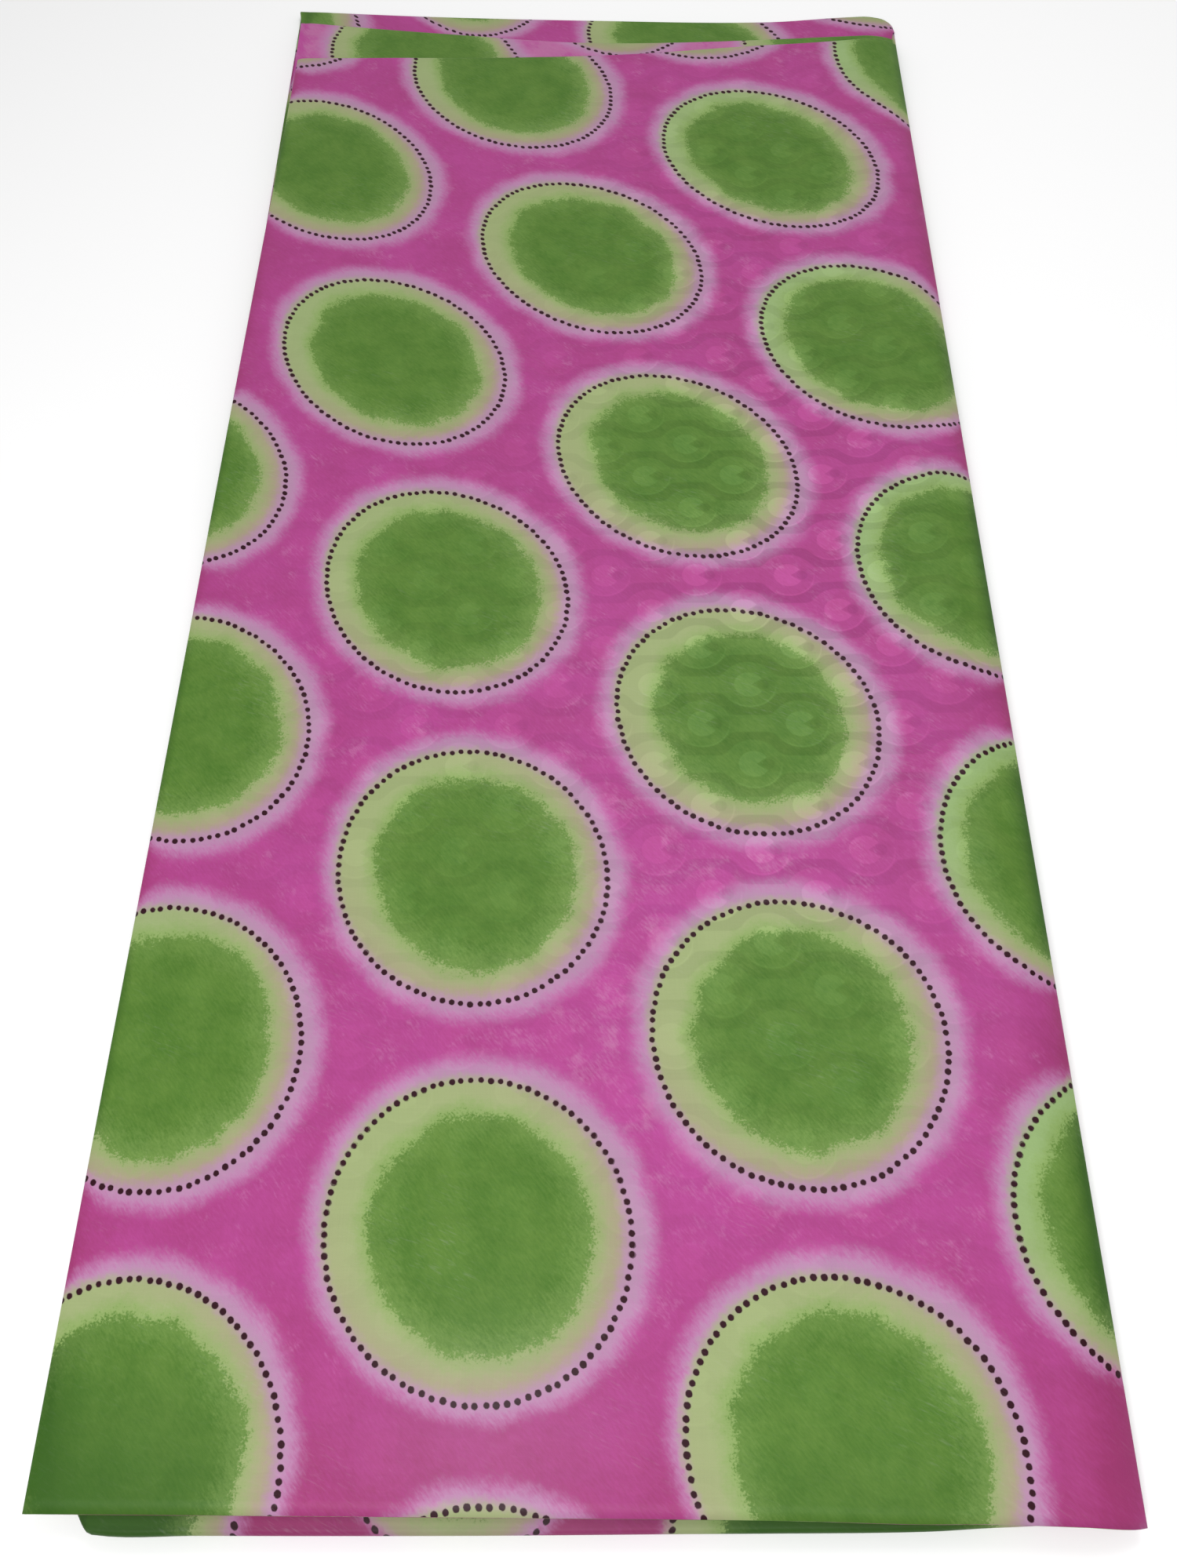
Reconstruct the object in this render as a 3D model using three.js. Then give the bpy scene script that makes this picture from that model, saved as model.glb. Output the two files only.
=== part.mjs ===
// A length of glazed damask cotton, put away flat: its width is folded into four plies, and the
// long strip that this makes is laid to and fro in six runs, one on the other, on a flat surface.
// Millimetres. X runs across the strip, Y from its near end to its far end, Z up from the surface.
import * as THREE from 'three';

// Thickness of the folded cloth
const runWall = 2.0;        // one run: four plies, starched and pressed
const marginWall = 1.0;     // the same run along its right margin, which only two of its plies reach
const marginStart = 356;    // where the run begins to thin, measured from the top run's left edge
const marginEnd = 376;      // where it is down to marginWall
const runGap = 0.3;         // between one run and the next, and between two pieces of the chain

// The six runs lie on six levels, counted up from the surface
const topLevel = 5;
const secondLevel = 4;
const thirdLevel = 3;
const upperHiddenLevel = 2;
const lowerHiddenLevel = 1;
const bottomLevel = 0;

// How finely each piece is drawn
const bodyColumns = 14;       // across the strip, up to the margin
const marginColumns = 6;      // across the margin
const edgeNoseSteps = 3;      // a quarter turn round a long edge
const straightSteps = 9;      // along a run
const turnSteps = 8;          // half a turn at the end of a run

// The ends of the runs, in the order of the cloth. left and right are the strip's two long edges
// there, and outline is the end seen from above, all measured from the near left corner of the top run.
const topCutEnd = {
  left: 0, right: 376,
  outline: [{ x: 0, y: 0 }, { x: 190, y: 0 }, { x: 300, y: -0.6 }, { x: 376, y: 0 }],
};
const farTurnOfTop = {
  left: 0, right: 376,
  outline: [
    { x: 0, y: 817 }, { x: 60, y: 814 }, { x: 120, y: 811 }, { x: 210, y: 810.5 },
    { x: 280, y: 814 }, { x: 330, y: 816 }, { x: 376, y: 820 },
  ],
};
const nearTurnOfSecond = {
  left: 20, right: 374,
  outline: [
    { x: 20, y: -6 }, { x: 150, y: -5.2 }, { x: 230, y: -4 }, { x: 290, y: -0.5 }, { x: 374, y: 3 },
  ],
};
const farTurnOfThird = {
  left: -4, right: 375,
  outline: [
    { x: -4, y: 863.5 }, { x: 43, y: 854 }, { x: 105, y: 843 }, { x: 173, y: 832 },
    { x: 245, y: 828 }, { x: 375, y: 829 },
  ],
};
const nearTurnOfHidden = {
  left: 12, right: 374,
  outline: [{ x: 12, y: 3 }, { x: 374, y: 6 }],
};
const farTurnOfBottom = {
  left: -7.5, right: 378,
  outline: [
    { x: -7.5, y: 883.5 }, { x: 79, y: 872.5 }, { x: 188, y: 862 }, { x: 300, y: 854 },
    { x: 350, y: 856.5 }, { x: 366, y: 856 }, { x: 374, y: 852.5 }, { x: 377, y: 847 }, { x: 378, y: 840 },
  ],
};
const bottomCutEnd = {
  left: 5, right: 375,
  outline: [{ x: 5, y: 8 }, { x: 375, y: 4 }],
};

// The height of an outline's curve at x: a smooth curve through the rows of its table
function outlineAt(end, x) {
  const xs = end.outline.map((row) => row.x);
  const ys = end.outline.map((row) => row.y);
  return new THREE.CubicInterpolant(xs, ys, 1).evaluate(x)[0];
}

// A run's thickness at x: even over the strip, thinner down the right margin
function wallAt(x) {
  const shareOfMargin = THREE.MathUtils.smoothstep(x, marginStart, marginEnd);
  return THREE.MathUtils.lerp(runWall, marginWall, shareOfMargin);
}

// The height of a run's middle above the surface
function middleOf(level, x) {
  return level * (wallAt(x) + runGap) + wallAt(x) / 2;
}

// The radius at the middle of the cloth where it turns back onto the next level
function turnRadius(x) {
  return (wallAt(x) + runGap) / 2;
}

// The depth of a turn from its outermost line to its centre
function turnReach(x) {
  return turnRadius(x) + wallAt(x) / 2;
}

// A station is one section across the strip. It knows its two long edges, and place(x, side) puts a
// point of the section, where side runs from -1 on one face of the cloth to 1 on the other.
function station(left, right, place) {
  return { left, right, place };
}

// Stations along a straight stretch from one end of a run to the other. start and finish take x and
// give Y, faceUp is 1 where the face called 1 looks up, and -1 where a turn has put it underneath.
function straightStations(level, from, to, start, finish, faceUp) {
  const stations = [];
  for (let step = 0; step <= straightSteps; step++) {
    const share = step / straightSteps;
    const left = THREE.MathUtils.lerp(from.left, to.left, share);
    const right = THREE.MathUtils.lerp(from.right, to.right, share);
    stations.push(station(left, right, (x, side) => new THREE.Vector3(
      x,
      THREE.MathUtils.lerp(start(x), finish(x), share),
      middleOf(level, x) + faceUp * side * wallAt(x) / 2,
    )));
  }
  return stations;
}

// Stations round a turn from a level down to the one below it: half a circle in the Y-Z plane.
// outward is 1 at the far end and -1 at the near end.
function turnStations(upperLevel, end, outward) {
  const stations = [];
  for (let step = 1; step < turnSteps; step++) {
    const angle = Math.PI * step / turnSteps;
    stations.push(station(end.left, end.right, (x, side) => {
      const radius = turnRadius(x) + side * wallAt(x) / 2;
      const centreY = outlineAt(end, x) - outward * turnReach(x);
      const centreZ = middleOf(upperLevel, x) - turnRadius(x);
      return new THREE.Vector3(
        x,
        centreY + outward * radius * Math.sin(angle),
        centreZ + radius * Math.cos(angle),
      );
    }));
  }
  return stations;
}

// Where a turn's straight neighbours meet it
function turnCentreY(end, outward) {
  return (x) => outlineAt(end, x) - outward * turnReach(x);
}

// The X places of a section's flat stretch, closer together in the right margin
function flatColumns(first, last) {
  const columns = [];
  for (let step = 0; step < bodyColumns; step++) {
    columns.push(THREE.MathUtils.lerp(first, marginStart, step / bodyColumns));
  }
  for (let step = 0; step <= marginColumns; step++) {
    columns.push(THREE.MathUtils.lerp(marginStart, last, step / marginColumns));
  }
  return columns;
}

// The upper half of one wall's section, as points { x, side } from its left tip to its right tip.
// Each long edge is a quarter circle, and noseSteps is the number of points on it.
function wallSection(left, right) {
  const leftRadius = wallAt(left) / 2;
  const rightRadius = wallAt(right) / 2;
  const leftNose = [];
  const rightNose = [];
  for (let step = 0; step < edgeNoseSteps; step++) {
    const angle = Math.PI / 2 * step / edgeNoseSteps;
    leftNose.push({ x: left + leftRadius * (1 - Math.cos(angle)), side: Math.sin(angle) });
    rightNose.unshift({ x: right - rightRadius * (1 - Math.cos(angle)), side: Math.sin(angle) });
  }
  const flat = flatColumns(left + leftRadius, right - rightRadius).map((x) => ({ x, side: 1 }));
  return { noseSteps: edgeNoseSteps, upper: [...leftNose, ...flat, ...rightNose] };
}

// The upper half of the section of two runs in one solid. Each run has its own round edge, half a
// circle that starts in the groove between them, so side is 0 in the groove and 1 on the top.
function layeredSection(left, right) {
  const leftRadius = (wallAt(left) + runGap / 2) / 2;
  const rightRadius = (wallAt(right) + runGap / 2) / 2;
  const noseSteps = 2 * edgeNoseSteps;
  const leftNose = [];
  const rightNose = [];
  for (let step = 0; step < noseSteps; step++) {
    const angle = Math.PI * (step / noseSteps - 1 / 2);
    const side = (1 + Math.sin(angle)) / 2;
    leftNose.push({ x: left + leftRadius * (1 - Math.cos(angle)), side });
    rightNose.unshift({ x: right - rightRadius * (1 - Math.cos(angle)), side });
  }
  const flat = flatColumns(left + leftRadius, right - rightRadius).map((x) => ({ x, side: 1 }));
  return { noseSteps, upper: [...leftNose, ...flat, ...rightNose] };
}

// The faces that close one section: a fan at each long edge, and a strip of squares between them.
// above(i) and below(i) are the vertices of point i and of its mirror image under the middle.
function capFaces(pointCount, noseSteps, above, below) {
  const faces = [];
  const lastPoint = pointCount - 1;
  for (let i = 1; i <= noseSteps; i++) {
    faces.push([above(0), above(i + 1), above(i)], [above(0), below(i), below(i + 1)]);
    const j = lastPoint - i;
    faces.push([above(lastPoint), above(j), above(j - 1)], [above(lastPoint), below(j - 1), below(j)]);
  }
  const firstFlat = noseSteps + 1;
  const lastFlat = lastPoint - noseSteps - 1;
  faces.push([above(0), below(firstFlat), above(firstFlat)]);
  faces.push([above(lastPoint), above(lastFlat), below(lastFlat)]);
  for (let i = firstFlat; i < lastFlat; i++) {
    faces.push([above(i), below(i), below(i + 1)], [above(i), below(i + 1), above(i + 1)]);
  }
  return faces;
}

// A closed solid through the stations: a skin from each section to the next, and a cap at both ends.
// heading is 1 where the upper side's stations run towards +Y, and -1 where they run towards -Y.
function loft(stations, section, heading) {
  const rings = stations.map(({ left, right, place }) => {
    const { upper } = section(left, right);
    const lower = upper.slice(1, -1).reverse().map(({ x, side }) => ({ x, side: -side }));
    return [...upper, ...lower].map(({ x, side }) => place(x, side));
  });
  const ringSize = rings[0].length;
  const positions = rings.flat().flatMap((point) => [point.x, point.y, point.z]);
  const faces = [];
  const addFace = ([a, b, c]) => faces.push(...(heading > 0 ? [a, b, c] : [a, c, b]));
  for (let ring = 0; ring + 1 < rings.length; ring++) {
    for (let point = 0; point < ringSize; point++) {
      const a = ring * ringSize + point;
      const b = ring * ringSize + (point + 1) % ringSize;
      addFace([a, b, b + ringSize]);
      addFace([a, b + ringSize, a + ringSize]);
    }
  }
  const { noseSteps, upper } = section(stations[0].left, stations[0].right);
  const mirrored = (i) => (ringSize - i) % ringSize;
  const lastRing = (rings.length - 1) * ringSize;
  for (const face of capFaces(upper.length, noseSteps, (i) => i, mirrored)) {
    const [a, b, c] = face;
    addFace([a, b, c]);
    addFace([lastRing + c, lastRing + b, lastRing + a]);
  }
  const geometry = new THREE.BufferGeometry();
  geometry.setAttribute('position', new THREE.Float32BufferAttribute(positions, 3));
  geometry.setIndex(faces);
  geometry.computeVertexNormals();
  return geometry;
}

// Top run: from its cut end over the whole strip, and down round the first far turn
function topRun() {
  const stations = [
    ...straightStations(
      topLevel, topCutEnd, farTurnOfTop,
      (x) => outlineAt(topCutEnd, x), turnCentreY(farTurnOfTop, 1), 1,
    ),
    ...turnStations(topLevel, farTurnOfTop, 1),
  ];
  return loft(stations, wallSection, 1);
}

// Second run: back to the near end, where its turn shows as a lip under the cut end
function secondRun() {
  const seam = turnCentreY(farTurnOfTop, 1);
  const stations = [
    ...straightStations(
      secondLevel, farTurnOfTop, nearTurnOfSecond,
      (x) => seam(x) - runGap, turnCentreY(nearTurnOfSecond, -1), 1,
    ),
    ...turnStations(secondLevel, nearTurnOfSecond, -1),
  ];
  return loft(stations, wallSection, -1);
}

// Third run: to the far end again, reaching past the top run, so that a strip of it shows
function thirdRun() {
  const seam = turnCentreY(nearTurnOfSecond, -1);
  const stations = [
    ...straightStations(
      thirdLevel, nearTurnOfSecond, farTurnOfThird,
      (x) => seam(x) + runGap, turnCentreY(farTurnOfThird, 1), 1,
    ),
    ...turnStations(thirdLevel, farTurnOfThird, 1),
  ];
  return loft(stations, wallSection, 1);
}

// Fourth and fifth run: hidden between the others, one rounded solid with a groove round its edges
function hiddenRuns() {
  const upperMiddle = (x) => middleOf(upperHiddenLevel, x);
  const lowerMiddle = (x) => middleOf(lowerHiddenLevel, x);
  const place = (x, side, y, fullness) => {
    const middle = (upperMiddle(x) + lowerMiddle(x)) / 2;
    const halfHeight = wallAt(x) + runGap / 2;
    return new THREE.Vector3(x, y, middle + side * halfHeight * fullness);
  };
  const noseAngles = [15, 35, 60];
  const near = nearTurnOfHidden;
  const far = farTurnOfThird;
  const stations = noseAngles.map((degrees) => {
    const angle = THREE.MathUtils.degToRad(degrees);
    return station(near.left, near.right, (x, side) => (
      place(x, side, outlineAt(near, x) + turnReach(x) * (1 - Math.cos(angle)), Math.sin(angle))
    ));
  });
  const seam = turnCentreY(far, 1);
  for (let step = 0; step <= straightSteps; step++) {
    const share = step / straightSteps;
    const left = THREE.MathUtils.lerp(near.left, far.left, share);
    const right = THREE.MathUtils.lerp(near.right, far.right, share);
    stations.push(station(left, right, (x, side) => (
      place(x, side, THREE.MathUtils.lerp(outlineAt(near, x) + turnReach(x), seam(x) - runGap, share), 1)
    )));
  }
  return loft(stations, layeredSection, 1);
}

// Bottom run: the end of the fifth run that shows at the far end, its turn down to the surface, and
// the sixth run, which lies on the surface and goes back to the other cut end
function bottomRun() {
  const seam = turnCentreY(farTurnOfThird, 1);
  const far = farTurnOfBottom;
  const stations = [
    ...straightStations(lowerHiddenLevel, farTurnOfThird, far, seam, turnCentreY(far, 1), 1),
    ...turnStations(lowerHiddenLevel, far, 1),
    ...straightStations(
      bottomLevel, far, bottomCutEnd,
      turnCentreY(far, 1), (x) => outlineAt(bottomCutEnd, x), -1,
    ),
  ];
  return loft(stations, wallSection, 1);
}

const foldedCloth = new THREE.Group();
const pieces = [
  { name: 'top_run', shape: topRun, colour: 0xb84c8e },
  { name: 'second_run', shape: secondRun, colour: 0xa9447f },
  { name: 'third_run', shape: thirdRun, colour: 0x6f9448 },
  { name: 'hidden_runs', shape: hiddenRuns, colour: 0xa33f7c },
  { name: 'bottom_run', shape: bottomRun, colour: 0xb0487f },
];
for (const { name, shape, colour } of pieces) {
  const material = new THREE.MeshStandardMaterial({ color: colour, roughness: 0.5, metalness: 0 });
  const mesh = new THREE.Mesh(shape(), material);
  mesh.name = name;
  foldedCloth.add(mesh);
}

// The origin goes to the middle of the underside of the whole
const middle = new THREE.Box3().setFromObject(foldedCloth).getCenter(new THREE.Vector3());
for (const mesh of foldedCloth.children) {
  mesh.geometry.translate(-middle.x, -middle.y, 0);
}

export default foldedCloth;
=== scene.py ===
# %% [markdown]
# # A folded length of printed damask
#
# The real object is one long piece of bazin, a stiff cotton damask that is dyed, printed and then
# beaten until it shines. For sale it is folded in four across its width, and the long strip that
# this makes is laid to and fro in six runs, one on the other. Here each run is a thin shell that
# repeats all four plies of the cloth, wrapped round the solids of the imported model.

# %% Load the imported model
import math

import bpy
import numpy as np
from mathutils import Matrix, Vector


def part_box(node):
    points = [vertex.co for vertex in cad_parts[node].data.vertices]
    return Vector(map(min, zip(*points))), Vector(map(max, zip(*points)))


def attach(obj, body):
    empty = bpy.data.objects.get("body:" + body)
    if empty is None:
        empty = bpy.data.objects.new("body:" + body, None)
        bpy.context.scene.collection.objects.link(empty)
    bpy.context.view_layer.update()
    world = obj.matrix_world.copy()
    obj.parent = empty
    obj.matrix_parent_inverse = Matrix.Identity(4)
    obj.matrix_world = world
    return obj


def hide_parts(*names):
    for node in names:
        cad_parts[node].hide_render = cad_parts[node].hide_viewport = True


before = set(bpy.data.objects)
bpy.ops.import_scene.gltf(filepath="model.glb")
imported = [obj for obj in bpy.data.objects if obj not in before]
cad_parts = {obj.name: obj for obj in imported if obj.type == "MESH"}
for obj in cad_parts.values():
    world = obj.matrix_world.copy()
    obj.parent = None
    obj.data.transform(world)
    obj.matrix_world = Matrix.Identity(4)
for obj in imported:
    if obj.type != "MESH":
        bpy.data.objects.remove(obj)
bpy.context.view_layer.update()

MM = 0.001
scene = bpy.context.scene
scene.view_settings.view_transform = "Standard"

# %% [markdown]
# ## One set of axes for the cloth
#
# A cloth worker measures a folded strip from its corner, so every size below is in millimetres from
# the near left corner of the top run: x across the strip, y along it, z up from the surface. The
# top run starts at x = 0, and its cut end dips to y = -0.6, which ties these axes to the model.

# %% From the strip's corner to the model's frame
LOWEST_CUT_Y = -0.6
top_low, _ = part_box("top_run")
strip_origin = np.array([top_low.x, top_low.y - LOWEST_CUT_Y * MM, 0.0])


def to_model(points):
    """Points in strip millimetres become metres in the model's frame: scale, then shift."""
    return points * MM + strip_origin


print("strip corner in the model's frame, m:", np.round(strip_origin, 4))

# %% [markdown]
# ## Camera
#
# The photograph looks down steeply on the strip from just beyond its near end, a little rolled to
# the left. The camera's own axes are written out as unit vectors, and Blender wants its Z axis to
# point backwards, away from the view.

# %% Camera at the photograph's angle
VIEW_RIGHT = np.array([0.99915935, 0.00928839, -0.03992886])
VIEW_UP = np.array([0.01217917, 0.8626326, 0.50568412])
VIEW_FORWARD = np.array([-0.03914092, 0.50574572, -0.86179421])
VIEW_POINT = np.array([0.02744, -0.46401, 0.53789])
LENS_MM = 32.24
SENSOR_MM = 36.0

camera_data = bpy.data.cameras.new("camera")
camera_data.lens = LENS_MM
camera_data.sensor_width = SENSOR_MM
camera_data.clip_start = 0.01
camera = bpy.data.objects.new("camera", camera_data)
scene.collection.objects.link(camera)
camera_matrix = np.eye(4)
camera_matrix[:3, :3] = np.stack([VIEW_RIGHT, VIEW_UP, -VIEW_FORWARD], axis=1)
camera_matrix[:3, 3] = VIEW_POINT
camera.matrix_world = Matrix(camera_matrix.tolist())
scene.camera = camera
print("camera height above the surface, mm:", round(VIEW_POINT[2] / MM))

# %% [markdown]
# ## A short way to write shaders
#
# Colour and weave are worked out at each point of the cloth by trees of small nodes. Placing them
# one by one takes many lines, so a helper class does it: each of its methods adds a node and gives
# back its result, and formulas then read almost like plain Python.

# %% Helpers for nodes
def linear(red, green, blue):
    """A colour seen as 0 to 255 values, as the linear values that a shader works with."""
    seen = np.array([red, green, blue]) / 255.0
    light = np.where(seen <= 0.04045, seen / 12.92, ((seen + 0.055) / 1.055) ** 2.4)
    return (*[float(c) for c in light], 1.0)


class Graph:
    """A short way to write down a tree of shader nodes."""

    def __init__(self, tree):
        self.tree = tree

    def node(self, kind, inputs=None, **settings):
        """Adds one node, sets its options, and feeds each input with a value or another socket."""
        added = self.tree.nodes.new(kind)
        for name, value in settings.items():
            setattr(added, name, value)
        for name, value in (inputs or {}).items():
            self.feed(added.inputs[name], value)
        return added

    def feed(self, socket, value):
        if isinstance(value, bpy.types.NodeSocket):
            self.tree.links.new(value, socket)
        else:
            socket.default_value = value

    def math(self, operation, *values):
        """One Math node: its inputs in order are numbers or sockets."""
        inputs = dict(enumerate(values))
        return self.node("ShaderNodeMath", inputs, operation=operation).outputs[0]

    def blend(self, share, first, second):
        """A colour that goes from first to second as share goes from 0 to 1."""
        inputs = {0: share, 6: first, 7: second}
        return self.node("ShaderNodeMix", inputs, data_type="RGBA").outputs[2]

    def between(self, share, first, second):
        """A number that goes from first to second as share goes from 0 to 1."""
        return self.node("ShaderNodeMix", {0: share, 2: first, 3: second}).outputs[0]

    def soft_step(self, value, low, high):
        """0 below low, 1 above high, and a smooth rise between them."""
        inputs = {"Value": value, "From Min": low, "From Max": high}
        step = self.node("ShaderNodeMapRange", inputs, interpolation_type="SMOOTHSTEP")
        return step.outputs["Result"]

    def minus(self, first, second):
        return self.math("SUBTRACT", first, second)

    def times(self, first, second):
        return self.math("MULTIPLY", first, second)

    def plus(self, base, value, factor):
        """base + value * factor."""
        return self.math("MULTIPLY_ADD", value, factor, base)

    def rest(self, share):
        """What a share leaves of 1."""
        return self.math("SUBTRACT", 1.0, share)

    def split(self, vector):
        """The three parts of a vector or colour."""
        return self.node("ShaderNodeSeparateXYZ", {0: vector}).outputs

    def join(self, u, v, w=0.0):
        return self.node("ShaderNodeCombineXYZ", {0: u, 1: v, 2: w}).outputs[0]

    def length(self, u, v):
        """The square root of u * u + v * v."""
        inputs = {0: self.join(u, v)}
        return self.node("ShaderNodeVectorMath", inputs, operation="LENGTH").outputs["Value"]

    def scaled(self, vector, factor):
        inputs = {0: vector, "Scale": factor}
        return self.node("ShaderNodeVectorMath", inputs, operation="SCALE").outputs[0]

    def stretched(self, place, angle, sizes):
        """place as seen by a pattern that is turned by an angle and drawn out to these sizes."""
        inputs = {"Vector": place, "Rotation": (0.0, 0.0, angle), "Scale": sizes}
        return self.node("ShaderNodeMapping", inputs, vector_type="TEXTURE").outputs[0]

    def noise(self, place, scale, detail=2.0, roughness=0.5):
        """Smooth noise from 0 to 1 with a mean of 0.5; scale is in cycles per unit of place."""
        inputs = {"Vector": place, "Scale": scale, "Detail": detail, "Roughness": roughness}
        return self.node("ShaderNodeTexNoise", inputs).outputs[0]

    def marks(self, place, scale, detail, roughness=0.5):
        """The same noise with a mean of 0."""
        return self.minus(self.noise(place, scale, detail, roughness), 0.5)


# %% [markdown]
# ## Light and floor
#
# The cloth was photographed under an even indoor light and cut out on white. An even sky gives most
# of the light. A soft lamp in front makes the near end a little brighter than the far one. A second
# one hangs over the far end, where the middle of the cloth mirrors it to the camera, so that the
# glaze there shows the woven figure.

# %% Sky, lamps and floor
SKY_STRENGTH = 0.48
# name, place and target in metres, watts, side in metres
LAMPS = [
    ("near_lamp", (-0.15, -0.85, 0.95), (0.05, -0.25, 0.0), 8.6, 0.7),
    ("gloss_lamp", (0.22, 0.55, 1.40), (0.08, -0.17, 0.0), 7.4, 0.8),
]
FLOOR_DEPTH = 0.0003
FLOOR_HALF = 4.0
FLOOR_WHITE = (0.97, 0.97, 0.97, 1.0)
FLOOR_ROUGHNESS = 0.9

world = bpy.data.worlds.new("soft_studio")
world.use_nodes = True
world.node_tree.nodes["Background"].inputs["Color"].default_value = (1.0, 1.0, 1.0, 1.0)
world.node_tree.nodes["Background"].inputs["Strength"].default_value = SKY_STRENGTH
scene.world = world


def aim(place, target):
    """A turn that points a lamp's -Z axis from place to target."""
    direction = Vector(target) - Vector(place)
    return direction.to_track_quat("-Z", "Y")


for lamp_name, lamp_place, lamp_target, watts, size in LAMPS:
    lamp_data = bpy.data.lights.new(lamp_name, "AREA")
    lamp_data.energy = watts
    lamp_data.size = size
    lamp = bpy.data.objects.new(lamp_name, lamp_data)
    scene.collection.objects.link(lamp)
    lamp.location = lamp_place
    lamp.rotation_mode = "QUATERNION"
    lamp.rotation_quaternion = aim(lamp_place, lamp_target)

floor_corners = [
    (side_x * FLOOR_HALF, side_y * FLOOR_HALF, -FLOOR_DEPTH)
    for side_x, side_y in ((-1, -1), (1, -1), (1, 1), (-1, 1))
]
floor_mesh = bpy.data.meshes.new("floor")
floor_mesh.from_pydata(floor_corners, [], [(0, 1, 2, 3)])
floor = bpy.data.objects.new("floor", floor_mesh)
scene.collection.objects.link(floor)
floor_material = bpy.data.materials.new("pale_floor")
floor_material.use_nodes = True
floor_shader = floor_material.node_tree.nodes["Principled BSDF"]
floor_shader.inputs["Base Color"].default_value = FLOOR_WHITE
floor_shader.inputs["Roughness"].default_value = FLOOR_ROUGHNESS
floor_mesh.materials.append(floor_material)
print("sky strength:", SKY_STRENGTH, "lamps:", [lamp[0] for lamp in LAMPS])

# %% [markdown]
# ## How thick the folded cloth is
#
# Starched damask pressed flat is about a third of a millimetre thick, so four plies with a little
# air between them make a run of 2 mm. The inner two plies stop short of the right edge, so the run
# thins to 1 mm there, and the whole stack slopes down along that margin. The functions below give
# the thickness of a run and the height of its middle at each x. The solids follow the same ones,
# but for the shoulder of the margin, which is rounder here.

# %% Thickness and height of a run
RUN_WALL = 2.0
MARGIN_WALL = 1.0
MARGIN_START = 356.0
MARGIN_END = 376.0
RUN_GAP = 0.3
PLY = 0.34


def wall_at(x):
    """Thickness of a run: RUN_WALL, and across the margin it sinks by t^2 to MARGIN_WALL, so the
    stack rounds over towards its right edge."""
    t = np.clip((x - MARGIN_START) / (MARGIN_END - MARGIN_START), 0.0, 1.0)
    return RUN_WALL + (MARGIN_WALL - RUN_WALL) * t * t


def middle_of(level, x):
    """Height of a run's middle: its level times a wall and a gap, plus half a wall."""
    return level * (wall_at(x) + RUN_GAP) + wall_at(x) / 2.0


def turn_radius(x):
    """Radius at the middle of the cloth where it turns back: half of a wall and a gap."""
    return (wall_at(x) + RUN_GAP) / 2.0


def turn_reach(x):
    """Depth of a turn from its centre to its outermost line."""
    return turn_radius(x) + wall_at(x) / 2.0


print("a run at its middle and its right edge, mm:", float(wall_at(188.0)), float(wall_at(376.0)))

# %% [markdown]
# ## Where each run ends
#
# Nobody folds a cloth dead straight: each turn bows a little, and each layer lies some millimetres
# to one side of the last. A table gives every end its two long edges and a few points of its
# outline, and a smooth curve joins the points.

# %% The ends of the runs
TOP_CUT_END = {
    "edges": (0, 376),
    "outline": [
        (0, 0), (190, 0), (262, -0.2), (300, -0.9),
        (324, -0.7), (352, -1.3), (372, -1.7), (376, -1.1),
    ],
}
FAR_TURN_OF_TOP = {
    "edges": (0, 376),
    "outline": [(0, 817), (60, 814), (120, 811), (210, 810.5), (280, 814), (330, 816), (376, 820)],
}
NEAR_TURN_OF_SECOND = {
    "edges": (18, 374),
    "outline": [
        (18, 0.5), (19.4, -1.6), (21, -3.9), (22.6, -5.4), (25.5, -6), (60, -5.9), (150, -5.2),
        (225, -4.1), (256, -3.7), (290, -3.2), (306, -2.7), (322, -1.7), (340, -0.8), (374, 2),
    ],
}
FAR_TURN_OF_THIRD = {
    "edges": (-4, 375),
    "outline": [(-4, 863.5), (43, 854), (105, 843), (173, 832), (245, 828), (375, 829)],
}
NEAR_TURN_OF_HIDDEN = {
    "edges": (12, 374),
    "outline": [(12, 3), (374, 6)],
}
FAR_TURN_OF_BOTTOM = {
    "edges": (-7.5, 378),
    "outline": [
        (-7.5, 883.5), (79, 872.5), (188, 862), (300, 854), (350, 856.5),
        (366, 856), (374, 852.5), (377, 847), (378, 840),
    ],
}
BOTTOM_CUT_END = {
    "edges": (5, 375),
    "outline": [(5, 8), (375, 4)],
}


def outline_at(end, x):
    """The y of an end's outline at each x. Between two points of the table it is a cubic, and its
    slope at a point is the mean of the slopes of the straight lines on either side."""
    xs, ys = np.array(end["outline"], float).T
    chords = np.diff(ys) / np.diff(xs)
    slopes = np.concatenate([chords[:1], (chords[1:] + chords[:-1]) / 2.0, chords[-1:]])
    x = np.clip(x, xs[0], xs[-1])
    left = np.clip(np.searchsorted(xs, x, side="right") - 1, 0, len(xs) - 2)
    width = xs[left + 1] - xs[left]
    t = (x - xs[left]) / width
    start = ys[left] * (1 + 2 * t) * (1 - t) ** 2 + slopes[left] * width * t * (1 - t) ** 2
    finish = ys[left + 1] * t**2 * (3 - 2 * t) + slopes[left + 1] * width * t**2 * (t - 1)
    return start + finish


print("cut end at mid width, mm:", round(float(outline_at(TOP_CUT_END, 188.0)), 2))

# %% [markdown]
# ## The four plies
#
# Seen from the near end, the cloth starts at a selvedge on the left, runs right along the underside
# of the strip, turns up round the right edge, comes back left on top, folds under itself, and goes
# right and left once more inside, to the other selvedge. That path is one line of points, each
# with its share of the way from the left edge to the right, a small shift in millimetres, and its
# height in the run, from -1 on the underside to 1 on the top.

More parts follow.
